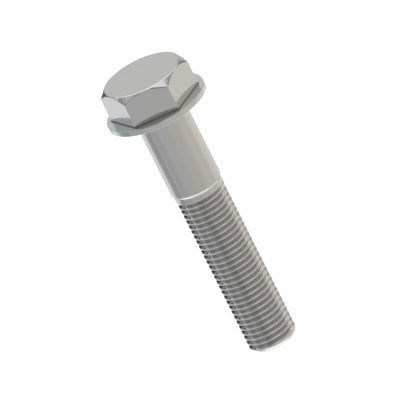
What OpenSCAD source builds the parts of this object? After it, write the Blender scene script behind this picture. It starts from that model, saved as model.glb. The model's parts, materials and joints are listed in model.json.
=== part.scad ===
// Flange bolt: a forged hex head on a round flange, a plain ground shank, a short
// relieved neck and a fine right-hand thread that runs out through the end's chamfer.
// Millimetres. +Z runs along the axis towards the head, and the origin is the
// centre of the flange's bearing face.

/* [Head] */
// Width between two opposite wrench flats
across_flats = 17.4; // [15:0.1:19]
// Height of the head from the bearing face to the top face, flange included
head_h = 8.3; // [6:0.1:12]
// Gap between a wrench flat and the edge of the round top face
top_inset = 0.1; // [0.05:0.05:1]
// Angle of the corner chamfer, measured from the top face
chamfer_angle = 45; // [20:1:50]

/* [Flange] */
// Outer diameter of the flange
flange_d = 22.35; // [20.6:0.05:28]
// Thickness of the flange
rim_h = 1.28; // [0.8:0.02:2]
// Radius on both edges of the rim
rim_round = 0.1; // [0.1:0.05:0.35]

/* [Shank] */
// Length from the bearing face to the end of the bolt
bolt_len = 59; // [50:0.5:90]
// Diameter of the plain shank
shank_d = 11.4; // [11.1:0.05:13]
// Length of the plain shank, measured from the bearing face
shank_len = 19.3; // [8:0.1:24]
// Radius of the fillet between the bearing face and the shank
seat_fillet = 0.5; // [0.2:0.05:1]
// Diameter of the relieved neck between the shank and the thread
neck_d = 10.85; // [10.6:0.05:10.95]
// Length of the taper from the shank to the neck
neck_taper = 0.5; // [0.2:0.05:1]
// Length of the neck from the taper to the first thread groove
neck_len = 1.15; // [0.6:0.05:4]

/* [Thread] */
// Diameter over the thread's crests
thread_d = 10.8; // [10.65:0.05:10.95]
// Pitch of the thread
thread_pitch = 1.27; // [1:0.01:1.5]
// Angle between the two flanks of a groove
flank_angle = 60; // [55:1:65]
// Turns over which the first groove comes to its full depth
runout_turns = 0.36; // [0.2:0.04:1]
// Bearing of the first groove's start, seen from above the head
thread_start_angle = 32; // [-180:1:180]
// Turns over which the last groove dies out in the end's chamfer
tip_fade_turns = 0.25; // [0.2:0.05:1]
// Height above the flat end at which the last groove has died out
last_groove = 0.8; // [0.4:0.1:2]

/* [Tip] */
// Diameter of the flat end
tip_d = 8.8; // [7:0.1:9.6]
// Length of the end's chamfer
tip_chamfer = 0.95; // [0.6:0.05:2]

/* [Hidden] */

STEEL = [0.72, 0.71, 0.69];
// Facets round the turned parts
TURNED_STEPS = 96;
// Facets to a turn of the thread
TURN_STEPS = 32;
// Facets on a rounded edge of the turned profile
ROUND_STEPS = 5;
// How deep the thread's upper end is sunk in the neck
SINK = 0.25;
// How much the sunk end is smaller than the neck round it
SINK_INSET = 0.05;
// Least distance along the axis between two lines of a groove
HAIR = 0.02;
// How far a cutting shape reaches past what it cuts
CUT = 1;

shank_r = shank_d / 2;
neck_r = neck_d / 2;
crest_r = thread_d / 2;
tip_r = tip_d / 2;
flange_r = flange_d / 2;
flat_r = across_flats / 2;
corner_r = flat_r / cos(30);
top_r = flat_r - top_inset;

// A groove has a flat root of a sixteenth of the pitch and a crest of an eighth
root_w = thread_pitch / 16;
crest_w = thread_pitch / 8;
flank_run = tan(flank_angle / 2);
groove_depth = (thread_pitch - root_w - crest_w) / 2 / flank_run;
root_r = crest_r - groove_depth;
groove_half = root_w / 2 + groove_depth * flank_run;

neck_end = shank_len + neck_taper + neck_len;
// Middle of the first groove where it starts, and the steps of the helix from there
first_groove = neck_end + groove_half - runout_turns * thread_pitch + HAIR;
thread_room = bolt_len - last_groove - first_groove;
STATIONS = floor(thread_room / thread_pitch * TURN_STEPS);

function ramp(x) = min(1, max(0, x));
function mix(a, b, t) = a + (b - a) * t;

// Points of an arc, from one angle to another
function arc(cx, cz, r, from, to) = [
    for (i = [0:ROUND_STEPS])
        let(a = mix(from, to, i / ROUND_STEPS))
            [cx + r * cos(a), cz + r * sin(a)]];

// How far the groove has come to its full depth, and how far it has died out
function cut_share(i) = ramp(i / (runout_turns * TURN_STEPS));
function fade_share(i) = 1 - ramp((STATIONS - i) / (tip_fade_turns * TURN_STEPS));

// Radius of the land that lies below the groove at a station of the helix
function land_r(i) = mix(neck_r, crest_r, cut_share(i));

// Radius of the groove's root
function groove_r(i) =
    min(land_r(i), mix(neck_r, root_r, cut_share(i)) + groove_depth * fade_share(i));

function turned(r, i, z) =
    let(a = thread_start_angle - i * 360 / TURN_STEPS)
        [r * cos(a), r * sin(a), z];

// The four lines of the groove at one station: upper land, root, root, lower land
function groove_points(i) =
    let(
        z = -first_groove - thread_pitch * i / TURN_STEPS,
        r = groove_r(i),
        up = max(HAIR, (land_r(i - TURN_STEPS) - r) * flank_run),
        down = max(HAIR, (land_r(i) - r) * flank_run))
    [
        turned(land_r(i - TURN_STEPS), i, z + root_w / 2 + up),
        turned(r, i, z + root_w / 2),
        turned(r, i, z - root_w / 2),
        turned(land_r(i), i, z - root_w / 2 - down)
    ];

function ring_points(r, z) = [for (j = [0:TURN_STEPS - 1]) turned(r, j, z)];

// Two facets between stations a and b, from line p above to line q below
function strip(pa, qa, qb, pb) = [[pa, qa, qb], [pa, qb, pb]];

// Facets that close a loop of points
function fan(loop) = [for (i = [1:len(loop) - 2]) [loop[0], loop[i], loop[i + 1]]];

// The threaded length, from inside the neck to past the flat end
module thread() {
    top_ring = 4 * (STATIONS + 1);
    end_ring = top_ring + TURN_STEPS;
    last_turn = STATIONS - TURN_STEPS;

    points = concat(
        [for (i = [0:STATIONS], p = groove_points(i)) p],
        ring_points(neck_r - SINK_INSET, SINK - neck_end),
        ring_points(crest_r, -bolt_len - CUT));

    function line(i, k) = 4 * i + k;
    function top(i) = top_ring + i % TURN_STEPS;
    function low(i) = end_ring + i % TURN_STEPS;

    groove = [
        for (i = [0:STATIONS - 1], k = [0:2],
            f = strip(line(i, k), line(i, k + 1), line(i + 1, k + 1), line(i + 1, k)))
                f];
    lands = [
        for (i = [0:last_turn - 1], n = [i + TURN_STEPS],
            f = strip(line(i, 3), line(n, 0), line(n + 1, 0), line(i + 1, 3)))
                f];
    collar = [
        for (i = [0:TURN_STEPS - 2],
            f = strip(top(i), line(i, 0), line(i + 1, 0), top(i + 1)))
                f];
    collar_seam = concat(
        [top(TURN_STEPS - 1), line(TURN_STEPS - 1, 0), line(TURN_STEPS, 0)],
        [for (k = [3:-1:0]) line(0, k)],
        [top(0)]);
    skirt = [
        for (i = [last_turn + 1:STATIONS - 1],
            f = strip(line(i, 3), low(i), low(i + 1), line(i + 1, 3)))
                f];
    skirt_seam = concat(
        [line(last_turn + 1, 3), line(last_turn, 3)],
        [for (k = [0:3]) line(STATIONS, k)],
        [low(STATIONS), low(STATIONS + 1)]);
    ends = [
        [for (j = [0:TURN_STEPS - 1]) top_ring + j],
        [for (j = [TURN_STEPS - 1:-1:0]) end_ring + j]];

    polyhedron(
        points,
        concat(groove, lands, collar, fan(collar_seam), skirt, fan(skirt_seam), ends));
}

// Flange, fillet, shank and neck, turned about the axis
module turned_body() {
    rim_r = flange_r - rim_round;
    rotate_extrude($fn = TURNED_STEPS)
        polygon(concat(
            [[0, rim_h], [0, -neck_end], [neck_r, -neck_end]],
            [[neck_r, -shank_len - neck_taper], [shank_r, -shank_len]],
            arc(shank_r + seat_fillet, -seat_fillet, seat_fillet, 180, 90),
            arc(rim_r, rim_round, rim_round, -90, 0),
            arc(rim_r, rim_h - rim_round, rim_round, 0, 90)));
}

// What the turned chamfer and the flat end leave of the thread
module end_room() {
    wide_r = crest_r + CUT;
    wide_z = tip_chamfer * (wide_r - tip_r) / (crest_r - tip_r) - bolt_len;
    rotate_extrude($fn = TURNED_STEPS)
        polygon([[0, 0], [0, -bolt_len], [tip_r, -bolt_len], [wide_r, wide_z], [wide_r, 0]]);
}

// Hexagon with its corners turned off by a cone
module hex() {
    foot = rim_h / 2;
    wide_r = corner_r + CUT;
    wide_z = head_h - (wide_r - top_r) * tan(chamfer_angle);
    intersection() {
        translate([0, 0, foot]) cylinder(h = head_h - foot, r = corner_r, $fn = 6);
        rotate_extrude($fn = TURNED_STEPS)
            polygon([[0, 0], [wide_r, 0], [wide_r, wide_z], [top_r, head_h], [0, head_h]]);
    }
}

module bolt() {
    color(STEEL) union() {
        turned_body();
        hex();
        intersection() {
            thread();
            end_room();
        }
    }
}

bolt();
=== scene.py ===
"""Flange bolt: one forged and turned steel piece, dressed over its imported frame.

Metres, in the frame's own axes. +Z runs up the bolt's axis to the head, and the origin
is the centre of the flange's bearing face. The bolt is one closed mesh: the thread is a
section swept down a helix, the neck, shank and flange are drawn out of its upper edge
ring by ring, and the rounded hexagon is joined on and filleted round its foot.
"""

import json
import logging
import math
from collections.abc import Callable, Iterable
from dataclasses import dataclass
from enum import Enum

import bmesh
import bpy
from mathutils import Matrix, Vector

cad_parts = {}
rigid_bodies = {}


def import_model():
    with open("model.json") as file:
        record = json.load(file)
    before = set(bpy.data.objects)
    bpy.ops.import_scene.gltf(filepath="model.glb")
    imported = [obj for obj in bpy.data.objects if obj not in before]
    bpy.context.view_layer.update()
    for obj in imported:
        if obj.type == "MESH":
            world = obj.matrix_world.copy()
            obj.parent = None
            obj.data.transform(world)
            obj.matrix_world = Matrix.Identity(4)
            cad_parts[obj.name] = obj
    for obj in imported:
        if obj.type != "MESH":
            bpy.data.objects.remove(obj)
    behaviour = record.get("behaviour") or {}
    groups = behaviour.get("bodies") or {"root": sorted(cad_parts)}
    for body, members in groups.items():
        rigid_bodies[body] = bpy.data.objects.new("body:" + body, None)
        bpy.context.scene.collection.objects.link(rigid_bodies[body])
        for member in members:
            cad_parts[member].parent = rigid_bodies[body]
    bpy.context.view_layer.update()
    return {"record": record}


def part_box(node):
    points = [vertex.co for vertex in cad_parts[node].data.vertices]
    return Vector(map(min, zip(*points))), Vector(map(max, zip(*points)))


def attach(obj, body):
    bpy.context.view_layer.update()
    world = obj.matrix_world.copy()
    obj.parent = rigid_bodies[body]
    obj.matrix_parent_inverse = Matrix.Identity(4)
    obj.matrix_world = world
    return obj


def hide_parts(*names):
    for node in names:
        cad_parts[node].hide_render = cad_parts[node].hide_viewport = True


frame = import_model()

log = logging.getLogger("flange_bolt")

MM = 0.001
NODE = "bolt"
# Points nearer than TOUCH meet, and heights nearer than NEAR are level
TOUCH = 1e-7
NEAR = 0.001 * MM
TURN = 2 * math.pi
# Half the angle that one side of the hexagon takes
HALF_SIDE = TURN / 12
Z_AXIS = Vector((0, 0, 1))

Point = tuple[float, float]
Colour = tuple[float, float, float]


def clamp(x: float) -> float:
    """x held between 0 and 1."""
    return min(1.0, max(0.0, x))


def mix(a: float, b: float, t: float) -> float:
    """The value a share t of the way from a to b."""
    return a + (b - a) * t


def mount(name: str) -> dict:
    """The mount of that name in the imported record."""
    return next(m for m in frame["record"]["mounts"] if m["name"] == name)


# The mesh maker's hand tools


class Bench:
    """The mesh operators, used as by hand on one object at a time."""

    @staticmethod
    def clear_selection() -> None:
        """Deselects every object."""
        if bpy.context.object and bpy.context.object.mode != "OBJECT":
            bpy.ops.object.mode_set(mode="OBJECT")
        for o in bpy.context.scene.objects:
            o.select_set(False)

    @staticmethod
    def take(obj: bpy.types.Object) -> None:
        """Makes one object the only selected and the active one.

        Args:
            obj: the object.
        """
        Bench.clear_selection()
        obj.select_set(True)
        bpy.context.view_layer.objects.active = obj

    @staticmethod
    def edit(obj: bpy.types.Object, mode: str = "VERT") -> None:
        """Opens obj for editing with nothing selected.

        Args:
            obj: the object to edit.
            mode: the kind of element to select, VERT, EDGE or FACE.
        """
        Bench.take(obj)
        bpy.ops.object.mode_set(mode="EDIT")
        bpy.ops.mesh.select_mode(type=mode)
        bpy.ops.mesh.select_all(action="DESELECT")

    @staticmethod
    def leave() -> None:
        """Ends editing."""
        bpy.ops.object.mode_set(mode="OBJECT")

    @staticmethod
    def settle(obj: bpy.types.Object) -> None:
        """Puts obj's place, turn and scale into its mesh."""
        Bench.take(obj)
        bpy.ops.object.transform_apply(location=True, rotation=True, scale=True)

    @staticmethod
    def apply(obj: bpy.types.Object, kind: str, **values: object) -> None:
        """Adds a modifier to obj and applies it.

        Args:
            obj: the object to change.
            kind: the modifier's type.
            values: its settings.
        """
        Bench.take(obj)
        modifier = obj.modifiers.new(kind.lower(), kind)
        for name, value in values.items():
            setattr(modifier, name, value)
        bpy.ops.object.modifier_apply(modifier=modifier.name)

    @staticmethod
    def select_points(obj: bpy.types.Object, test: Callable[[Vector], bool]) -> None:
        """Selects obj's points that pass a test, in edit mode.

        Args:
            obj: the object in edit mode.
            test: tells a point to select by its place.
        """
        shape = bmesh.from_edit_mesh(obj.data)
        for v in shape.verts:
            v.select = test(v.co)
        shape.select_flush_mode()
        bmesh.update_edit_mesh(obj.data)

    @staticmethod
    def select_edges(obj: bpy.types.Object, test: Callable[[bmesh.types.BMEdge], bool]) -> int:
        """Selects obj's edges that pass a test, in edit mode.

        Args:
            obj: the object in edit mode.
            test: tells an edge to select.

        Returns:
            How many edges it selected.
        """
        shape = bmesh.from_edit_mesh(obj.data)
        for e in shape.edges:
            e.select = test(e)
        shape.select_flush(True)
        bmesh.update_edit_mesh(obj.data)
        return sum(e.select for e in shape.edges)


# Sizes


@dataclass(frozen=True)
class BoltSizes:
    """The bolt's sizes, in metres and radians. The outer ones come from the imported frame."""

    flange_r: float
    head_top: float
    tip_z: float
    shank_r: float
    thread_r: float
    flat_r: float
    shank_end: float = -19.3 * MM
    top_inset: float = 0.085 * MM
    chamfer_angle: float = math.radians(45)
    rim_h: float = 1.28 * MM
    rim_round: float = 0.1 * MM
    seat_fillet: float = 0.5 * MM
    neck_r: float = 5.425 * MM
    neck_taper: float = 0.5 * MM
    neck_len: float = 1.25 * MM
    seam_rise: float = 0.1 * MM
    pitch: float = 1.27 * MM
    flank: float = math.radians(30)
    runout_turns: float = 0.36
    tip_fade_turns: float = 0.25
    last_groove: float = 0.7 * MM
    start_angle: float = math.radians(47)
    tip_r: float = 4.4 * MM
    tip_chamfer: float = 0.95 * MM

    @classmethod
    def from_frame(cls) -> "BoltSizes":
        """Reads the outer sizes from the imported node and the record's mounts.

        Returns:
            All the sizes.
        """
        low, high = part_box(NODE)
        return cls(
            flange_r=min(high.x, -low.x, high.y, -low.y),
            head_top=high.z,
            tip_z=low.z,
            shank_r=mount("shank")["dims"]["r_mm"] * MM,
            thread_r=mount("thread")["dims"]["r_mm"] * MM,
            flat_r=abs(mount("wrench_flat")["pos_m"][1]),
        )

    @property
    def corner_r(self) -> float:
        """Distance from the axis to a corner of the hexagon."""
        return self.flat_r / math.cos(HALF_SIDE)

    @property
    def top_r(self) -> float:
        """Radius of the round top face."""
        return self.flat_r - self.top_inset

    @property
    def neck_end(self) -> float:
        """Height of the neck's lower end."""
        return self.shank_end - self.neck_taper - self.neck_len

    @property
    def seam_z(self) -> float:
        """Height in the neck where the swept thread ends and the turned rings start."""
        return self.neck_end + self.seam_rise

    @property
    def spare_z(self) -> float:
        """Height past the flat end down to which the thread is swept."""
        return self.tip_z - self.pitch

    @property
    def chamfer_z(self) -> float:
        """Height at which the end's chamfer starts."""
        return self.tip_z + self.tip_chamfer


@dataclass(frozen=True)
class ThreadForm:
    """The groove's section: flat root, straight flanks, narrow crest, small rounds."""

    sizes: BoltSizes
    steps: int = 96
    crest_share: float = 0.21
    root_share: float = 1 / 80
    edge_round: float = 0.035 * MM
    root_round: float = 0.012 * MM
    round_steps: int = 2
    hair: float = 0.02 * MM
    least_rise: float = 0.12

    @property
    def half_root(self) -> float:
        """Half the width of the groove's flat root."""
        return self.sizes.pitch * self.root_share / 2

    @property
    def depth(self) -> float:
        """Full depth of the groove.

        Returns:
            The depth from the crests to the flat root.
        """
        s = self.sizes
        run = s.pitch * (1 - self.root_share - self.crest_share) / 2
        return run / math.tan(s.flank)

    @property
    def half_width(self) -> float:
        """Half the groove's width at the crests."""
        return self.half_root + self.depth * math.tan(self.sizes.flank)

    @property
    def start_z(self) -> float:
        """Height of the groove's middle where it starts."""
        s = self.sizes
        return s.neck_end - self.half_width + s.runout_turns * s.pitch - self.hair

    @property
    def turns(self) -> float:
        """Turns from the groove's start to its end behind the chamfer."""
        s = self.sizes
        return (self.start_z - s.tip_z - s.last_groove) / s.pitch

    def middle(self, angle: float) -> float:
        """Height of one groove's middle at a bearing about the axis."""
        s = self.sizes
        return self.start_z + s.pitch * (angle - s.start_angle) / TURN

    def section(self) -> list[Point]:
        """Half of the section, from the root's middle out to the crest's middle.

        Returns:
            Points (distance from the groove's middle, height above the root).
        """
        lean = self.sizes.flank
        bend = (math.pi / 2 - lean) / 2
        foot = self.root_round * math.tan(bend)
        brow = self.edge_round * math.tan(bend)
        points = [(0.0, 0.0), (self.half_root - foot, 0.0)]
        for k in range(1, self.round_steps + 1):
            a = 2 * bend * k / self.round_steps
            points.append(
                (
                    self.half_root - foot + self.root_round * math.sin(a),
                    self.root_round * (1 - math.cos(a)),
                )
            )
        for k in range(self.round_steps, -1, -1):
            a = 2 * bend * k / self.round_steps
            points.append(
                (
                    self.half_width + brow - self.edge_round * math.sin(a),
                    self.depth - self.edge_round * (1 - math.cos(a)),
                )
            )
        points.append((self.sizes.pitch / 2, self.depth))
        return points

    def land(self, t: float) -> float:
        """Radius of the land below the groove, which grows out of the neck.

        Args:
            t: turns from the groove's start.

        Returns:
            The land's radius.
        """
        s = self.sizes
        if t < 0:
            return s.neck_r
        return mix(s.neck_r, s.thread_r, clamp(t / s.runout_turns))

    def root(self, t: float) -> float:
        """Radius of the groove's root, faded in at the neck and out at the tip.

        Args:
            t: turns from the groove's start.

        Returns:
            The root's radius.
        """
        s = self.sizes
        if t < 0:
            return s.neck_r
        cut = mix(s.neck_r, s.thread_r - self.depth, clamp(t / s.runout_turns))
        out = self.depth * (1 - clamp((self.turns - t) / s.tip_fade_turns))
        return min(self.land(t), cut + out)


# The bolt's mesh


@dataclass
class Thread:
    """The swept thread: an open sleeve from the neck to past the flat end."""

    sizes: BoltSizes
    form: ThreadForm
    spare_turns: int = 2
    inside: float = 0.999
    off_step: float = 0.01

    def section_line(self, low: float) -> bpy.types.Object:
        """Draws one pitch of the section at bearing 0.

        Args:
            low: height of the groove's middle.

        Returns:
            The open line, from the lower crest's middle to the upper one's.
        """
        half = self.form.section()
        root = self.sizes.thread_r - self.form.depth
        line = [(-d, h) for d, h in reversed(half[1:])] + half
        points = [Vector((root + h, 0, low + d)) for d, h in line]
        Bench.clear_selection()
        bpy.ops.mesh.primitive_plane_add(size=self.sizes.pitch, location=points[0])
        obj = bpy.context.object
        bpy.ops.object.mode_set(mode="EDIT")
        bpy.ops.mesh.select_all(action="SELECT")
        bpy.ops.mesh.merge(type="CENTER")
        for a, b in zip(points, points[1:]):
            bpy.ops.mesh.extrude_vertices_move(TRANSFORM_OT_translate={"value": b - a})
        Bench.leave()
        Bench.settle(obj)
        return obj

    def fade(self, obj: bpy.types.Object) -> None:
        """Lifts the groove out of the bar at both ends, as the cutting tool does.

        Args:
            obj: the swept thread at full depth everywhere.
        """
        s, form = self.sizes, self.form
        depth = form.depth
        base = s.thread_r - depth
        for v in obj.data.vertices:
            angle = math.atan2(v.co.y, v.co.x)
            middle = form.middle(angle)
            middle += s.pitch * round((v.co.z - middle) / s.pitch)
            off = v.co.z - middle
            t = (form.start_z - middle) / s.pitch
            land = form.land(t - 1 if off > 0 else t)
            root = min(form.root(t), land)
            share = clamp((land - root) / depth)
            height = math.hypot(v.co.x, v.co.y) - base
            r = land if abs(off) > form.half_width + form.edge_round else root + height * share
            spread = max(share, form.least_rise)
            if form.half_root < abs(off) < s.pitch / 2 * self.inside:
                off = math.copysign(form.half_root + (abs(off) - form.half_root) * spread, off)
            v.co = (r * math.cos(angle), r * math.sin(angle), middle + off)

    def build(self) -> bpy.types.Object:
        """Sweeps, fades and trims the thread.

        Returns:
            The sleeve, open at both ends.
        """
        s = self.sizes
        top = math.ceil((s.neck_end - self.form.middle(0)) / s.pitch) + self.spare_turns
        low = math.floor((s.tip_z - self.form.middle(0)) / s.pitch) - self.spare_turns
        obj = self.section_line(self.form.middle(0) + low * s.pitch)
        steps = self.form.steps
        Bench.apply(
            obj,
            "SCREW",
            axis="Z",
            angle=TURN,
            screw_offset=s.pitch,
            iterations=top - low,
            steps=steps,
            render_steps=steps,
        )
        Bench.edit(obj)
        bpy.ops.mesh.select_all(action="SELECT")
        bpy.ops.mesh.remove_doubles(threshold=NEAR)
        Bench.leave()
        self.fade(obj)
        for z, outer in ((s.seam_z, True), (s.spare_z, False)):
            Bench.edit(obj)
            bpy.ops.mesh.select_all(action="SELECT")
            bpy.ops.mesh.bisect(
                plane_co=(0, 0, z),
                plane_no=Z_AXIS,
                clear_outer=outer,
                clear_inner=not outer,
                threshold=TOUCH,
            )
            self.tidy_edge(obj, z)
            Bench.leave()
        return obj

    def tidy_edge(self, obj: bpy.types.Object, z: float) -> None:
        """Takes out the points that the trim leaves between the whole steps of the edge.

        Args:
            obj: the sleeve, in edit mode.
            z: the edge's height.
        """
        step = TURN / self.form.steps

        def between(co: Vector) -> bool:
            """Tells a point of the edge that isn't on a whole step."""
            part = math.atan2(co.y, co.x) / step
            return abs(co.z - z) < NEAR and abs(part - round(part)) > self.off_step

        Bench.select_points(obj, between)
        bpy.ops.mesh.dissolve_verts()


@dataclass
class TurnedRings:
    """Draws the turned body out of an open edge, one ring after another.

    The taper's foot and brow are rounded by points at shares of their round.
    """

    sizes: BoltSizes
    taper_round: float = 0.08 * MM
    foot_share: float = 0.3
    brow_share: Point = (0.12, 0.1)
    under_hexagon: float = 0.6
    fillet_steps: int = 6
    rim_steps: int = 5

    def arc(self, cx: float, cz: float, r: float, start: float, end: float, n: int) -> list[Point]:
        """Points (radius, height) on an arc round (cx, cz), between two angles in degrees."""
        turns = [math.radians(mix(start, end, k / n)) for k in range(n + 1)]
        return [(cx + r * math.cos(a), cz + r * math.sin(a)) for a in turns]

    def upper(self) -> list[Point]:
        """Rings from the neck up over the shank and the flange.

        Returns:
            The (radius, height) of each ring.
        """
        s = self.sizes
        soft, share = self.taper_round, self.foot_share
        out, up = self.brow_share
        taper = math.atan2(s.shank_r - s.neck_r, s.neck_taper)
        fillet, rim = s.seat_fillet, s.flange_r - s.rim_round
        foot = s.shank_end - s.neck_taper
        return [
            (s.neck_r, foot - soft),
            (s.neck_r + soft * math.sin(taper) * share, foot + soft * share),
            (s.neck_r + soft * math.sin(taper), foot + soft * math.cos(taper)),
            (s.shank_r - soft * math.sin(taper), s.shank_end - soft * math.cos(taper)),
            (s.shank_r - soft * out, s.shank_end + soft * up),
            (s.shank_r, s.shank_end + soft),
            (s.shank_r, s.shank_end / 2),
            *self.arc(s.shank_r + fillet, -fillet, fillet, 180, 90, self.fillet_steps),
            *self.arc(rim, s.rim_round, s.rim_round, -90, 0, self.rim_steps),
            *self.arc(rim, s.rim_h - s.rim_round, s.rim_round, 0, 90, self.rim_steps),
            (s.flat_r * self.under_hexagon, s.rim_h),
        ]

    def draw(self, obj: bpy.types.Object, z: float, rings: Iterable[Point]) -> None:
        """Extrudes and scales the edge at height z through the rings, and closes the last.

        Args:
            obj: the sleeve.
            z: height of its open edge.
            rings: the (radius, height) of each new ring.
        """
        Bench.edit(obj)
        found = Bench.select_edges(
            obj, lambda e: e.is_boundary and all(abs(v.co.z - z) < NEAR for v in e.verts)
        )
        shape = bmesh.from_edit_mesh(obj.data)
        radius = max(math.hypot(v.co.x, v.co.y) for v in shape.verts if v.select)
        for r, height in rings:
            bpy.ops.mesh.extrude_region_move(
                TRANSFORM_OT_translate={"value": (0, 0, height - z)}
            )
            bpy.ops.transform.resize(
                value=(r / radius, r / radius, 1), center_override=(0, 0, height)
            )
            radius, z = r, height
        bpy.ops.mesh.edge_face_add()
        Bench.leave()
        log.info("edge of %d steps drawn out to z = %.2f mm", found, z / MM)


@dataclass
class EndRoom:
    """What the turned chamfer and the flat end leave of the bolt."""

    sizes: BoltSizes
    edge_round: float = 0.1 * MM
    round_steps: int = 3
    turning: int = 192
    spare: float = 1.2

    def build(self) -> bpy.types.Object:
        """Makes the closed room: flat end, cone, and a wide cylinder up past the head.

        Returns:
            The room, to be met with the bolt.
        """
        s = self.sizes
        wide = s.flange_r * self.spare
        rise = s.tip_chamfer * (wide - s.tip_r) / (s.thread_r - s.tip_r)
        Bench.clear_selection()
        bpy.ops.mesh.primitive_cone_add(
            vertices=self.turning,
            radius1=s.tip_r,
            radius2=wide,
            depth=rise,
            location=(0, 0, s.tip_z + rise / 2),
        )
        room = bpy.context.object
        Bench.settle(room)
        Bench.edit(room)
        Bench.select_points(room, lambda co: co.z > s.tip_z + rise / 2)
        bpy.ops.mesh.extrude_region_move(
            TRANSFORM_OT_translate={"value": (0, 0, 2 * s.head_top - s.tip_z - rise)}
        )
        bpy.ops.mesh.select_all(action="DESELECT")
        Bench.select_points(room, lambda co: co.z < s.tip_z + TOUCH)
        bpy.ops.mesh.bevel(offset=self.edge_round, segments=self.round_steps, affect="EDGES")
        Bench.leave()
        return room


@dataclass
class HexHead:
    """The hexagon with its corners turned off by a cone."""

    sizes: BoltSizes
    edge_round: float = 0.07 * MM
    brow_round: float = 0.4 * MM
    foot_fillet: float = 0.25 * MM
    round_steps: int = 3
    brow_steps: int = 5
    sharp: float = math.radians(28)
    turning: int = 192
    spare: float = 1.2
    upright: float = 0.1
    level: float = 0.9

    def build(self) -> bpy.types.Object:
        """Cuts the hexagon, turns off its corners and rounds its edges.

        Returns:
            The closed hexagon, sunk a little in the flange.
        """
        s = self.sizes
        foot = s.rim_h / 2
        Bench.clear_selection()
        bpy.ops.mesh.primitive_cylinder_add(
            vertices=6,
            radius=s.corner_r,
            depth=s.head_top - foot,
            location=(0, 0, (s.head_top + foot) / 2),
            rotation=(0, 0, HALF_SIDE),
        )
        obj = bpy.context.object
        Bench.settle(obj)
        cone = self.corner_cone()
        Bench.apply(obj, "BOOLEAN", operation="INTERSECT", object=cone, solver="EXACT")
        bpy.data.objects.remove(cone)
        Bench.apply(
            obj,
            "BEVEL",
            width=self.edge_round,
            segments=self.round_steps,
            limit_method="ANGLE",
            angle_limit=self.sharp,
            use_clamp_overlap=False,
        )
        return obj

    def corner_cone(self) -> bpy.types.Object:
        """Turns the cone that leaves the round top face.

        Returns:
            The closed cone, wide enough for the whole hexagon.
        """
        s = self.sizes
        wide = s.corner_r * self.spare
        drop = (wide - s.top_r) * math.tan(s.chamfer_angle)
        Bench.clear_selection()
        bpy.ops.mesh.primitive_cone_add(
            vertices=self.turning,
            radius1=wide,
            radius2=s.top_r,
            depth=drop,
            location=(0, 0, s.head_top - drop / 2),
        )
        cone = bpy.context.object
        Bench.settle(cone)
        Bench.edit(cone)
        Bench.select_points(cone, lambda co: co.z < s.head_top - drop / 2)
        bpy.ops.mesh.extrude_region_move(
            TRANSFORM_OT_translate={"value": (0, 0, -s.head_top)}
        )
        bpy.ops.mesh.select_all(action="DESELECT")
        Bench.select_points(cone, lambda co: co.z > s.head_top - TOUCH)
        brow = self.brow_round * math.tan(s.chamfer_angle / 2)
        bpy.ops.mesh.bevel(offset=brow, segments=self.brow_steps, affect="EDGES")
        Bench.leave()
        return cone

    def soften_foot(self, obj: bpy.types.Object) -> None:
        """Runs a small fillet round the hexagon's foot on the flange.

        Args:
            obj: the joined bolt.
        """
        s = self.sizes

        def at_foot(e: bmesh.types.BMEdge) -> bool:
            """Tells an edge between a flat of the hexagon and the flange's top.

            Args:
                e: the edge.

            Returns:
                Whether it is such an edge.
            """
            tilt = sorted(abs(f.normal.z) for f in e.link_faces)
            low = all(s.rim_h - TOUCH < v.co.z < s.rim_h + TOUCH for v in e.verts)
            return low and len(tilt) == 2 and tilt[0] < self.upright and tilt[1] > self.level

        Bench.edit(obj, "EDGE")
        found = Bench.select_edges(obj, at_foot)
        bpy.ops.mesh.bevel(offset=self.foot_fillet, segments=self.round_steps, affect="EDGES")
        Bench.leave()
        log.info("foot of the hexagon filleted along %d edges", found)


@dataclass
class FlangeBolt:
    """The whole bolt as one closed mesh."""

    sizes: BoltSizes
    form: ThreadForm
    crease: float = math.radians(32)
    weld: float = 0.003 * MM
    normal_weight: int = 50
    name: str = "flange_bolt"

    def build(self) -> bpy.types.Object:
        """Builds, joins and shades the bolt.

        Returns:
            The finished piece, at the origin.
        """
        s = self.sizes
        obj = Thread(s, self.form).build()
        obj.name = obj.data.name = self.name
        rings = TurnedRings(s)
        rings.draw(obj, s.seam_z, rings.upper())
        rings.draw(obj, s.spare_z, [(s.thread_r, s.spare_z - s.pitch)])
        self.face_out(obj)
        room = EndRoom(s).build()
        Bench.apply(obj, "BOOLEAN", operation="INTERSECT", object=room, solver="EXACT")
        bpy.data.objects.remove(room)
        head = HexHead(s)
        hexagon = head.build()
        Bench.apply(obj, "BOOLEAN", operation="UNION", object=hexagon, solver="EXACT")
        bpy.data.objects.remove(hexagon)
        self.clean(obj)
        head.soften_foot(obj)
        self.clean(obj)
        self.shade(obj)
        return obj

    def clean(self, obj: bpy.types.Object) -> None:
        """Welds the hair-thin slivers that joining leaves.

        Args:
            obj: the joined bolt.
        """
        Bench.edit(obj)
        bpy.ops.mesh.select_all(action="SELECT")
        bpy.ops.mesh.remove_doubles(threshold=self.weld)
        bpy.ops.mesh.dissolve_degenerate(threshold=TOUCH)
        Bench.leave()

    def face_out(self, obj: bpy.types.Object) -> None:
        """Turns every face outwards.

        Args:
            obj: the closed sleeve.
        """
        Bench.edit(obj, "FACE")
        bpy.ops.mesh.select_all(action="SELECT")
        bpy.ops.mesh.normals_make_consistent(inside=False)
        Bench.leave()

    def shade(self, obj: bpy.types.Object) -> None:
        """Shades the bolt smooth but for its creases, with the large faces kept flat.

        Args:
            obj: the finished mesh.
        """
        Bench.take(obj)
        bpy.ops.object.shade_smooth_by_angle(angle=self.crease)
        weight = self.normal_weight
        Bench.apply(obj, "WEIGHTED_NORMAL", mode="FACE_AREA", weight=weight, keep_sharp=True)


# Nodes


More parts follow.
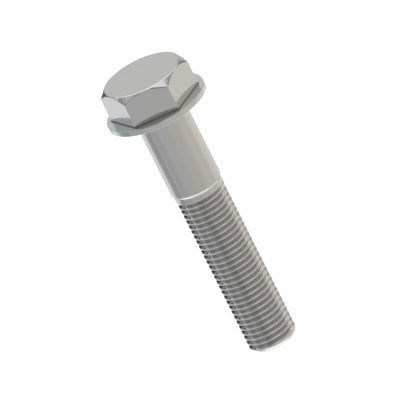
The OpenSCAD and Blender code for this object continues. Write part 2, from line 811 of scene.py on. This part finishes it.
class Wiring:
    """Adds nodes to one tree and wires them up."""

    def __init__(self, tree: bpy.types.NodeTree) -> None:
        """Takes the tree to wire."""
        self.tree = tree

    def put(self, socket: bpy.types.NodeSocket, value: object) -> None:
        """Feeds a socket from another one, or sets its value.

        Args:
            socket: the socket to feed.
            value: the other socket, or the value.
        """
        if isinstance(value, bpy.types.NodeSocket):
            self.tree.links.new(value, socket)
        else:
            socket.default_value = value

    def node(self, kind: str, inputs: dict | None = None, **settings: object) -> bpy.types.Node:
        """Adds a node.

        Args:
            kind: the node's type, without its first part.
            inputs: a value or a source for each input, by name or number.
            settings: its other settings.

        Returns:
            The node.
        """
        node = self.tree.nodes.new("ShaderNode" + kind)
        for name, value in settings.items():
            setattr(node, name, value)
        for name, value in (inputs or {}).items():
            self.put(node.inputs[name], value)
        return node

    def maths(self, operation: str, *values: object) -> bpy.types.NodeSocket:
        """Adds one sum of numbers or sockets, in order, and gives its result."""
        inputs = dict(enumerate(values))
        return self.node("Math", inputs, operation=operation).outputs[0]

    def rise(self, value: object, low: object, high: object) -> bpy.types.NodeSocket:
        """A smooth step from 0 at low to 1 at high."""
        inputs = {"Value": value, "From Min": low, "From Max": high}
        return self.node("MapRange", inputs, interpolation_type="SMOOTHSTEP").outputs["Result"]

    def blend(self, share: object, a: object, b: object) -> bpy.types.NodeSocket:
        """A colour mixed from a to b."""
        inputs = {"Factor": share, 6: a, 7: b}
        return self.node("Mix", inputs, data_type="RGBA").outputs[2]


class Group:
    """A shared node group: named inputs, named outputs, and its wiring."""

    def __init__(self, name: str, takes: dict[str, str], gives: dict[str, str]) -> None:
        """Opens a new group.

        Args:
            name: the group's name.
            takes: the type of each input by its name.
            gives: the type of each output by its name.
        """
        self.tree = bpy.data.node_groups.new(name, "ShaderNodeTree")
        for in_out, sockets in (("INPUT", takes), ("OUTPUT", gives)):
            for title, kind in sockets.items():
                self.tree.interface.new_socket(title, in_out=in_out, socket_type="NodeSocket" + kind)
        self.wiring = Wiring(self.tree)
        self.taken = self.tree.nodes.new("NodeGroupInput").outputs
        self.given = self.tree.nodes.new("NodeGroupOutput").inputs

    def give(self, name: str, source: bpy.types.NodeSocket) -> None:
        """Feeds one of the group's outputs."""
        self.tree.links.new(source, self.given[name])


def use(wiring: Wiring, tree: bpy.types.NodeTree, inputs: dict) -> bpy.types.Node:
    """Places a node group in a tree.

    Args:
        wiring: the tree's wiring.
        tree: the node group.
        inputs: a value or a source for each input.

    Returns:
        The group's node.
    """
    node = wiring.node("Group", node_tree=tree)
    for name, value in inputs.items():
        wiring.put(node.inputs[name], value)
    return node


# The steel's finish


@dataclass(frozen=True)
class TurnedGrain:
    """The fine rings that a turning tool leaves round the axis."""

    ring_gap: float = 0.3 * MM
    fine_gap: float = 0.1 * MM
    drift: float = 0.03
    detail: float = 2
    fine_detail: float = 1
    fine_share: float = 0.3

    def build(self) -> bpy.types.NodeTree:
        """Makes the group: a point in, the grain's height out.

        Returns:
            The node group.
        """
        group = Group("turned_grain", {"Point": "Vector"}, {"Height": "Float"})
        w = group.wiring
        long = w.node(
            "VectorMath",
            {0: group.taken["Point"], 1: (self.drift, self.drift, 1)},
            operation="MULTIPLY",
        ).outputs[0]
        coarse, fine = (
            w.node("TexNoise", {"Vector": long, "Scale": 1 / gap, "Detail": detail}).outputs[0]
            for gap, detail in ((self.ring_gap, self.detail), (self.fine_gap, self.fine_detail))
        )
        group.give("Height", w.maths("MULTIPLY_ADD", fine, self.fine_share, coarse))
        return group.tree


@dataclass(frozen=True)
class PlatedMottle:
    """The slow cloudiness of a forged and plated surface."""

    cloud: float = 2.4 * MM
    speck: float = 0.5 * MM
    cloud_detail: float = 3
    speck_detail: float = 2
    low: float = 0.3
    high: float = 0.7

    def build(self) -> bpy.types.NodeTree:
        """Makes the group: a point in, clouds and specks out.

        Returns:
            The node group.
        """
        group = Group("plated_mottle", {"Point": "Vector"}, {"Cloud": "Float", "Speck": "Float"})
        w = group.wiring
        sizes = (("Cloud", self.cloud, self.cloud_detail), ("Speck", self.speck, self.speck_detail))
        for name, size, detail in sizes:
            inputs = {"Vector": group.taken["Point"], "Scale": 1 / size, "Detail": detail}
            noise = w.node("TexNoise", inputs).outputs[0]
            group.give(name, w.rise(noise, self.low, self.high))
        return group.tree


@dataclass(frozen=True)
class BoltZones:
    """Where the bolt is turned, where its edges wear, and where shade is painted in the grooves and
    at the foot.

    A groove counts from groove_top below the crests, and in full from groove_deep.
    """

    sizes: BoltSizes
    band: float = 0.25 * MM
    crest_band: float = 0.05 * MM
    brow_band: float = 0.5 * MM
    groove_top: float = 0.5 * MM
    groove_deep: float = 0.75 * MM
    foot_band: float = 0.38 * MM

    def build(self) -> bpy.types.NodeTree:
        """Makes the group: a point in, masks out.

        Returns:
            The node group.
        """
        s = self.sizes
        masks = {"Turned": "Float", "Worn": "Float", "Foot": "Float", "Groove": "Float"}
        group = Group("bolt_zones", {"Point": "Vector"}, masks)
        w = group.wiring
        xyz = w.node("SeparateXYZ", {0: group.taken["Point"]}).outputs
        flat = w.node("CombineXYZ", {"X": xyz[0], "Y": xyz[1]}).outputs[0]
        radius = w.node("VectorMath", {0: flat}, operation="LENGTH").outputs["Value"]
        angle = w.maths("ARCTAN2", xyz[1], xyz[0])
        off = w.maths("PINGPONG", w.maths("ADD", angle, HALF_SIDE), HALF_SIDE)
        flats = w.maths("MULTIPLY", w.maths("COSINE", off), radius)
        above = w.rise(xyz[2], s.rim_h - self.band, s.rim_h + self.band)
        group.give("Turned", w.maths("SUBTRACT", 1, above))
        corner = w.maths("MULTIPLY", w.rise(radius, s.corner_r - self.band, s.corner_r), above)
        top = w.rise(xyz[2], s.head_top - self.band, s.head_top)
        brow = w.maths("MULTIPLY", top, w.rise(radius, s.top_r - self.brow_band, s.top_r))
        rim = w.rise(radius, s.flange_r - self.band, s.flange_r)
        in_thread = w.rise(xyz[2], s.neck_end + self.band, s.neck_end - self.band)
        crest = w.rise(radius, s.thread_r - self.crest_band, s.thread_r - self.crest_band / 4)
        worn = w.maths("MAXIMUM", w.maths("MAXIMUM", corner, brow), rim)
        group.give("Worn", w.maths("MAXIMUM", worn, w.maths("MULTIPLY", crest, in_thread)))
        # Groove: the deep part of the thread's grooves, which the finish darkens as painted shade
        groove = w.rise(radius, s.thread_r - self.groove_deep, s.thread_r - self.groove_top)
        deep = w.maths("MULTIPLY", w.maths("SUBTRACT", 1, groove), in_thread)
        group.give("Groove", w.maths("MULTIPLY", deep, w.rise(xyz[2], s.tip_z, s.chamfer_z)))
        # Foot: a narrow band along the crease round the hexagon's foot, which the finish darkens as
        # painted shade
        out, up = w.maths("SUBTRACT", flats, s.flat_r), w.maths("SUBTRACT", xyz[2], s.rim_h)
        foot = w.node("CombineXYZ", {"X": out, "Y": up}).outputs[0]
        gap = w.node("VectorMath", {0: foot}, operation="LENGTH").outputs["Value"]
        group.give("Foot", w.rise(gap, self.foot_band, self.foot_band / 3))
        return group.tree


@dataclass(frozen=True)
class SteelFinish:
    """Bright plated steel: turned below the flange, forged above it."""

    sizes: BoltSizes
    name: str = "bright_steel"
    colour: Colour = (0.78, 0.78, 0.775)
    clouded: Colour = (0.765, 0.765, 0.76)
    worn: Colour = (0.81, 0.81, 0.805)
    # Painted shade: the darker colour laid into the thread's grooves
    groove_shade: Colour = (0.60, 0.59, 0.575)
    # Painted shade: the dark colour laid along the crease round the hexagon's foot
    shaded: Colour = (0.30, 0.29, 0.28)
    wear: float = 0.8
    # How much of the painted groove shade is laid in
    groove_shade_share: float = 0.3
    roughness: float = 0.1
    rough_spread: float = 0.05
    grain_depth: float = 0.0012 * MM
    mottle_depth: float = 0.001 * MM

    def build(self) -> bpy.types.Material:
        """Makes the material.

        Returns:
            The material, reading Object coordinates.
        """
        material = bpy.data.materials.new(self.name)
        material.use_nodes = True
        w = Wiring(material.node_tree)
        point = w.node("TexCoord").outputs["Object"]
        grain = use(w, TurnedGrain().build(), {"Point": point}).outputs["Height"]
        mottle = use(w, PlatedMottle().build(), {"Point": point}).outputs
        zones = use(w, BoltZones(self.sizes).build(), {"Point": point}).outputs
        shader = material.node_tree.nodes["Principled BSDF"]
        w.put(shader.inputs["Base Color"], self.shade(w, mottle, zones))
        w.put(shader.inputs["Roughness"], self.dullness(w, mottle, zones))
        w.put(shader.inputs["Normal"], self.relief(w, grain, mottle, zones))
        shader.inputs["Metallic"].default_value = 1
        return material

    def shade(self, w: Wiring, mottle: object, zones: object) -> bpy.types.NodeSocket:
        """Wires the colour: clouds, brighter worn edges, and painted shade in the grooves and round
        the hexagon's foot.

        Args:
            w: the material's wiring.
            mottle: the mottle's outputs.
            zones: the masks.

        Returns:
            The colour.
        """
        plain = w.blend(mottle["Cloud"], (*self.clouded, 1), (*self.colour, 1))
        edged = w.blend(w.maths("MULTIPLY", zones["Worn"], self.wear), plain, (*self.worn, 1))
        # Painted shade: the deep grooves are darkened
        groove_shaded = w.blend(w.maths("MULTIPLY", zones["Groove"], self.groove_shade_share), edged, (*self.groove_shade, 1))
        # Painted shade: a dark line along the crease where the hexagon meets the flange
        return w.blend(zones["Foot"], groove_shaded, (*self.shaded, 1))

    def dullness(self, w: Wiring, mottle: object, zones: object) -> bpy.types.NodeSocket:
        """Wires the roughness: more in the specks and grooves, less on worn edges.

        Args:
            w: the material's wiring.
            mottle: the mottle's outputs.
            zones: the masks.

        Returns:
            The roughness.
        """
        specks = w.maths("MULTIPLY_ADD", mottle["Speck"], self.rough_spread, self.roughness)
        dirty = w.maths("MULTIPLY_ADD", zones["Groove"], self.rough_spread, specks)
        return w.maths("MULTIPLY_ADD", zones["Worn"], -self.rough_spread / 2, dirty)

    def relief(
        self, w: Wiring, grain: bpy.types.NodeSocket, mottle: object, zones: object
    ) -> bpy.types.NodeSocket:
        """Wires the bump: rings on what is turned, slow waves all over.

        Args:
            w: the material's wiring.
            grain: the turned rings' height.
            mottle: the mottle's outputs.
            zones: the masks.

        Returns:
            The normal.
        """
        waves = w.node("Bump", {"Height": mottle["Cloud"], "Distance": self.mottle_depth})
        ringed = w.maths("MULTIPLY", grain, zones["Turned"])
        inputs = {"Height": ringed, "Distance": self.grain_depth, "Normal": waves.outputs[0]}
        return w.node("Bump", inputs).outputs[0]


# The studio


@dataclass(frozen=True)
class StudioCamera:
    """The camera at the photograph's viewing angle."""

    elevation: float = math.radians(22.1)
    bearing: float = math.radians(7.4)
    lean: float = math.radians(26.64)
    view_mm: float = 416 / 4.76
    origin_mm: Point = (-10.59, 21.14)
    distance: float = 0.6
    reach: float = 10

    def build(self) -> bpy.types.Object:
        """Adds the camera.

        Returns:
            The camera's object.
        """
        cos_e, sin_e = math.cos(self.elevation), math.sin(self.elevation)
        back = Vector((math.sin(self.bearing) * cos_e, -math.cos(self.bearing) * cos_e, sin_e))
        level = Vector((math.cos(self.bearing), math.sin(self.bearing), 0))
        rise = back.cross(level)
        right = level * math.cos(self.lean) - rise * math.sin(self.lean)
        up = level * math.sin(self.lean) + rise * math.cos(self.lean)
        data = bpy.data.cameras.new("studio_camera")
        data.type = "ORTHO"
        data.ortho_scale = self.view_mm * MM
        data.clip_end = self.reach
        camera = bpy.data.objects.new("studio_camera", data)
        x, y = self.origin_mm
        place = back * self.distance - right * x * MM - up * y * MM
        camera.matrix_world = Matrix(
            (
                (right.x, up.x, back.x, place.x),
                (right.y, up.y, back.y, place.y),
                (right.z, up.z, back.z, place.z),
                (0, 0, 0, 1),
            )
        )
        bpy.context.scene.collection.objects.link(camera)
        bpy.context.scene.camera = camera
        return camera


class Tint(Enum):
    """The cast of a panel's grey."""

    PLAIN = (1.0, 1.0, 1.0)
    WARM = (1.045, 1.0, 0.915)
    CREAM = (1.02, 1.0, 0.94)
    OLIVE = (1.03, 1.01, 0.85)
    COOL = (0.98, 0.99, 1.04)
    BLUE = (0.90, 1.0, 1.05)
    LAVENDER = (0.96, 0.98, 1.12)


@dataclass(frozen=True)
class Grey:
    """A tone of the room as it shows in a picture, from black 0 to white 1."""

    level: float
    tint: Tint = Tint.PLAIN

    def colour(self) -> tuple[float, float, float, float]:
        """The tone as a light's colour.

        Returns:
            Red, green, blue and a full alpha, by the usual curve of pictures.
        """
        light = ((self.level + 0.055) / 1.055) ** 2.4
        r, g, b = (light * share for share in self.tint.value)
        return (r, g, b, 1.0)


@dataclass(frozen=True)
class SoftPanel:
    """A soft-edged panel of the room, placed in degrees as seen from the bolt.

    Bearings run from the camera, to the right where positive. Heights run up from level.
    """

    bearing: float
    height: float
    half_width: float
    half_height: float
    softness: float
    grey: Grey


@dataclass(frozen=True)
class PanelRoom:
    """The room as the steel sees it: graded walls and soft panels."""

    facing: float

    def walls(self) -> tuple[tuple[float, Grey], ...]:
        """The walls' tone by height in degrees, from the floor up to the ceiling.

        Returns:
            Each height with its tone.
        """
        return (
            (-90, Grey(0.90, Tint.CREAM)),
            (-76, Grey(0.92, Tint.CREAM)),
            (-64, Grey(1.06, Tint.CREAM)),
            (-50, Grey(1.04, Tint.CREAM)),
            (-38, Grey(0.64)),
            (-30, Grey(0.69)),
            (-18, Grey(0.72)),
            (-11, Grey(0.565)),
            (0, Grey(0.54)),
            (22, Grey(0.53)),
            (40, Grey(0.58)),
            (58, Grey(0.70)),
            (72, Grey(0.62)),
            (82, Grey(0.95)),
            (90, Grey(1.15)),
        )

    def right_side(self) -> tuple[SoftPanel, ...]:
        """The warm side: a greyer floor, a long low wall, a bright far end, panels above it.

        Returns:
            The panels, in the order they are laid.
        """
        return (
            SoftPanel(104, -60, 42, 12, 9, Grey(0.88, Tint.CREAM)),
            SoftPanel(34, -24, 34, 9, 8, Grey(0.725, Tint.WARM)),
            SoftPanel(98, -24, 54, 9, 22, Grey(0.79, Tint.WARM)),
            SoftPanel(124, -24, 30, 9, 10, Grey(0.84, Tint.WARM)),
            SoftPanel(136, -24, 10, 9, 6, Grey(0.88, Tint.WARM)),
            SoftPanel(66, 0, 30, 8, 8, Grey(0.62, Tint.WARM)),
            SoftPanel(108, 10, 10, 7, 6, Grey(0.69, Tint.WARM)),
            SoftPanel(28, -8, 20, 3, 5, Grey(0.605)),
            SoftPanel(128, 36, 18, 10, 6, Grey(0.85, Tint.WARM)),
            SoftPanel(106, 22, 10, 7, 5, Grey(0.73, Tint.WARM)),
            SoftPanel(147, 19, 9, 5, 4, Grey(0.68, Tint.WARM)),
            SoftPanel(156, 6, 10, 7, 4, Grey(0.80)),
            SoftPanel(112, 33, 5, 4, 4, Grey(0.15)),
            SoftPanel(103, 54, 14, 8, 6, Grey(0.73, Tint.WARM)),
        )

    def behind(self) -> tuple[SoftPanel, ...]:
        """The wall behind the bolt, bright below and paler above.

        Returns:
            The panels, in the order they are laid.
        """
        return (
            SoftPanel(177, -18, 14, 20, 6, Grey(0.90)),
            SoftPanel(180, 22, 16, 7, 4, Grey(0.805)),
            SoftPanel(180, 62, 36, 24, 8, Grey(1.15, Tint.CREAM)),
        )

    def left_side(self) -> tuple[SoftPanel, ...]:
        """The cool side: a window low down, black flags above it, a lamp between.

        Returns:
            The panels, in the order they are laid.
        """
        return (
            SoftPanel(-62, -8, 12, 3, 5, Grey(0.65)),
            SoftPanel(-66, -24, 16, 9, 9, Grey(0.67, Tint.COOL)),
            SoftPanel(-100, -24, 12, 9, 8, Grey(0.61)),
            SoftPanel(-140, -24, 16, 12, 7, Grey(0.895)),
            SoftPanel(-84, 0, 16, 5, 5, Grey(0.515)),
            SoftPanel(-114, 5, 9, 9, 4, Grey(0.71, Tint.COOL)),
            SoftPanel(-157, 6, 5, 7, 5, Grey(0.02)),
            SoftPanel(-149, 16, 4, 4, 4, Grey(0.20)),
            SoftPanel(-133, 21, 6, 7, 3, Grey(0.735, Tint.BLUE)),
            SoftPanel(-137, 32, 5, 4, 3, Grey(0.31)),
            SoftPanel(-125, 39, 6, 4, 4, Grey(0.76, Tint.LAVENDER)),
            SoftPanel(-113, 52, 6, 5, 4, Grey(0.57)),
            SoftPanel(-80, 54, 24, 9, 6, Grey(0.74, Tint.OLIVE)),
            SoftPanel(-116, 34, 4, 6, 4, Grey(0.95, Tint.LAVENDER)),
        )

    def strips(self) -> tuple[SoftPanel, ...]:
        """Strip lamps just over the low wall, a gap between them, and the boom overhead.

        Returns:
            The panels, in the order they are laid.
        """
        return (
            SoftPanel(-101, -14, 13, 3.5, 3, Grey(1.3, Tint.LAVENDER)),
            SoftPanel(-64, -14, 22, 1.8, 2.5, Grey(1.06, Tint.CREAM)),
            SoftPanel(22, -14, 28, 1.5, 2.5, Grey(0.89, Tint.CREAM)),
            SoftPanel(-25, -13, 13, 3, 3, Grey(0.38)),
            SoftPanel(-28, 54, 14, 20, 8, Grey(0.34)),
            SoftPanel(50, 64, 30, 10, 7, Grey(0.94, Tint.CREAM)),
        )

    def panel_group(self) -> bpy.types.NodeTree:
        """Makes the group that lays one soft panel over the room's colour.

        Returns:
            The node group.
        """
        numbers = ("Bearing", "Height", "Centre", "Middle", "Half width", "Half height", "Softness")
        takes = {name: "Float" for name in numbers} | {"Under": "Color", "Panel": "Color"}
        group = Group("soft_panel", takes, {"Colour": "Color"})
        w, t = group.wiring, group.taken
        turned = w.maths("WRAP", w.maths("SUBTRACT", t["Bearing"], t["Centre"]), 180, -180)
        lifted = w.maths("SUBTRACT", t["Height"], t["Middle"])
        shares = []
        for off, half in ((turned, t["Half width"]), (lifted, t["Half height"])):
            near, far = (w.maths(way, half, t["Softness"]) for way in ("SUBTRACT", "ADD"))
            shares.append(w.rise(w.maths("ABSOLUTE", off), far, near))
        group.give("Colour", w.blend(w.maths("MULTIPLY", *shares), t["Under"], t["Panel"]))
        return group.tree

    def colour(self, w: Wiring) -> bpy.types.NodeSocket:
        """Wires the room up.

        Args:
            w: the world's wiring.

        Returns:
            The room's colour in the direction that is looked in.
        """
        xyz = w.node("SeparateXYZ", {0: w.node("TexCoord").outputs["Generated"]}).outputs
        turned = w.maths("SUBTRACT", w.maths("ARCTAN2", xyz[1], xyz[0]), self.facing)
        bearing = w.maths("DEGREES", turned)
        height = w.maths("DEGREES", w.maths("ARCSINE", xyz[2]))
        ramp = w.node("ValToRGB", {0: w.maths("MULTIPLY_ADD", height, 1 / 180, 0.5)})
        stops = ramp.color_ramp.elements
        while len(stops) < len(self.walls()):
            stops.new(0.5)
        for stop, (level, grey) in zip(stops, self.walls()):
            stop.position = level / 180 + 0.5
            stop.color = grey.colour()
        colour = ramp.outputs[0]
        panel = self.panel_group()
        for p in (*self.strips(), *self.behind(), *self.right_side(), *self.left_side()):
            inputs = {
                "Bearing": bearing,
                "Height": height,
                "Centre": float(p.bearing),
                "Middle": float(p.height),
                "Half width": float(p.half_width),
                "Half height": float(p.half_height),
                "Softness": float(p.softness),
                "Under": colour,
                "Panel": p.grey.colour(),
            }
            colour = use(w, panel, inputs).outputs[0]
        return colour


@dataclass(frozen=True)
class Studio:
    """Plain pale floor and soft light."""

    floor_z: float
    room: PanelRoom
    floor_size: float = 4.0
    floor_glow: float = 0.9
    floor_grey: float = 0.33
    floor_matte: float = 0.9

    def world(self) -> None:
        """Sets the white backdrop for the camera and the panel room for everything else."""
        world = bpy.data.worlds.new("studio")
        world.use_nodes = True
        world.node_tree.nodes.clear()
        w = Wiring(world.node_tree)
        camera = w.node("LightPath").outputs["Is Camera Ray"]
        room = w.node("Background", {"Color": self.room.colour(w)}).outputs[0]
        white = w.node("Background", {"Color": (1, 1, 1, 1), "Strength": 1}).outputs[0]
        choose = w.node("MixShader", {0: camera, 1: room, 2: white})
        w.node("OutputWorld", {"Surface": choose.outputs[0]})
        bpy.context.scene.world = world

    def floor(self) -> bpy.types.Object:
        """Adds the floor, which shows white and keeps the bolt's soft shadow.

        Returns:
            The floor's object.
        """
        Bench.clear_selection()
        bpy.ops.mesh.primitive_plane_add(size=self.floor_size, location=(0, 0, self.floor_z))
        floor = bpy.context.object
        floor.name = floor.data.name = "floor"
        floor.visible_glossy = False
        material = bpy.data.materials.new("pale_floor")
        material.use_nodes = True
        material.node_tree.nodes.clear()
        w = Wiring(material.node_tree)
        camera = w.node("LightPath").outputs["Is Camera Ray"]
        matte, shaded = (
            w.node("BsdfDiffuse", {"Color": (grey, grey, grey, 1)}).outputs[0]
            for grey in (self.floor_matte, self.floor_grey)
        )
        glow = w.node("Emission", {"Strength": self.floor_glow}).outputs[0]
        seen = w.node("AddShader", {0: shaded, 1: glow}).outputs[0]
        choose = w.node("MixShader", {0: camera, 1: matte, 2: seen})
        w.node("OutputMaterial", {"Surface": choose.outputs[0]})
        floor.data.materials.append(material)
        return floor


def main() -> None:
    """Builds the bolt and its studio."""
    logging.basicConfig(level=logging.INFO, format="%(name)s: %(message)s")
    bpy.context.scene.view_settings.view_transform = "Standard"
    sizes = BoltSizes.from_frame()
    camera = StudioCamera()
    camera.build()
    bolt = FlangeBolt(sizes, ThreadForm(sizes)).build()
    bolt.data.materials.clear()
    bolt.data.materials.append(SteelFinish(sizes).build())
    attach(bolt, "root")
    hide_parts(NODE)
    triangles = sum(len(p.vertices) - 2 for p in bolt.data.polygons)
    log.info("%s: %d triangles", bolt.name, triangles)
    studio = Studio(sizes.tip_z, PanelRoom(camera.bearing - TURN / 4))
    studio.world()
    studio.floor()


if __name__ == "__main__":
    main()
